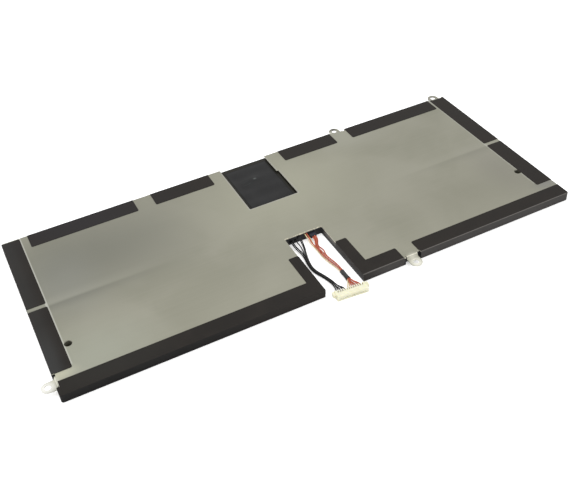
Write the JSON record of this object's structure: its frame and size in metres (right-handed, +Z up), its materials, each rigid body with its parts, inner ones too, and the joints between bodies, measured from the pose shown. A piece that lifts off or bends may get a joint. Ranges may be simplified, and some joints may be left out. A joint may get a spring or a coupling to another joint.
{
  "type": "laptop battery",
  "caption": "Flat internal laptop battery pack with a bare sheet-metal cover, black edge tapes, screw ears and a short wired plug in a front cable bay.",
  "frame": {"origin": "centre of the pack's rectangular underside, on the surface that it lies on", "axes": "+X along the pack's long side, +Y from the cable bay to the back edge, +Z up through the sheet-metal cover"},
  "size_m": [0.3068, 0.1404, 0.0052],
  "materials": {
    "sheet_metal": "bare rolled aluminium sheet, satin",
    "edge_tape": "black polyester edge tape, low sheen",
    "frame_plastic": "black moulded plastic, fine grain",
    "base_film": "plain black film, low sheen",
    "panel_film": "black insulating film over the board",
    "pouch": "laminated pouch foil, satin",
    "cell_tape": "white double-sided adhesive tape",
    "nickel": "nickel strip",
    "board": "glass-fibre circuit board with green solder mask",
    "chip": "moulded black component body",
    "fuse_ceramic": "pale ceramic component body",
    "capacitor_ceramic": "tan ceramic component body",
    "solder": "solder, smooth",
    "grommet": "blue-black moulded block",
    "sleeve": "black heat-shrink sleeve",
    "plug": "cream moulded plug",
    "contact": "crimped contact",
    "wire_black": "black wire insulation",
    "wire_red": "red wire insulation",
    "wire_white": "white wire insulation",
    "wire_yellow": "pale yellow wire insulation"
  },
  "bodies": {
    "root": {"back_tape_1": "edge_tape", "back_tape_2": "edge_tape", "back_tape_3": "edge_tape", "back_tape_4": "edge_tape", "base_film": "base_film", "board_cover": "panel_film", "bundle_sleeve": "sleeve", "capacitors": "capacitor_ceramic", "cell_left_back": "pouch", "cell_left_front": "pouch", "cell_right_back": "pouch", "cell_right_front": "pouch", "cell_tape_left_back": "cell_tape", "cell_tape_left_front": "cell_tape", "cell_tape_right_back": "cell_tape", "cell_tape_right_front": "cell_tape", "circuit_board": "board", "controller_chip": "chip", "cover_plate": "sheet_metal", "frame": "frame_plastic", "front_tape_left": "edge_tape", "front_tape_middle": "edge_tape", "front_tape_right": "edge_tape", "fuse": "fuse_ceramic", "left_tape_back": "edge_tape", "left_tape_front": "edge_tape", "plug_contacts": "contact", "plug_housing": "plug", "protector_chip": "chip", "right_tape_back": "edge_tape", "right_tape_front": "edge_tape", "sense_resistor": "chip", "switch_transistors": "chip", "tab_left_back_far": "nickel", "tab_left_back_near": "nickel", "tab_left_front_far": "nickel", "tab_left_front_near": "nickel", "tab_right_back_far": "nickel", "tab_right_back_near": "nickel", "tab_right_front_far": "nickel", "tab_right_front_near": "nickel", "thermistor": "chip", "weld_plates": "nickel", "wire_black_1": "wire_black", "wire_black_2": "wire_black", "wire_black_3": "wire_black", "wire_black_4": "wire_black", "wire_black_5": "wire_black", "wire_grommet": "grommet", "wire_joints": "solder", "wire_red_1": "wire_red", "wire_red_2": "wire_red", "wire_red_3": "wire_red", "wire_red_4": "wire_red", "wire_red_5": "wire_red", "wire_white": "wire_white", "wire_yellow": "wire_yellow"}
  },
  "joints": []
}
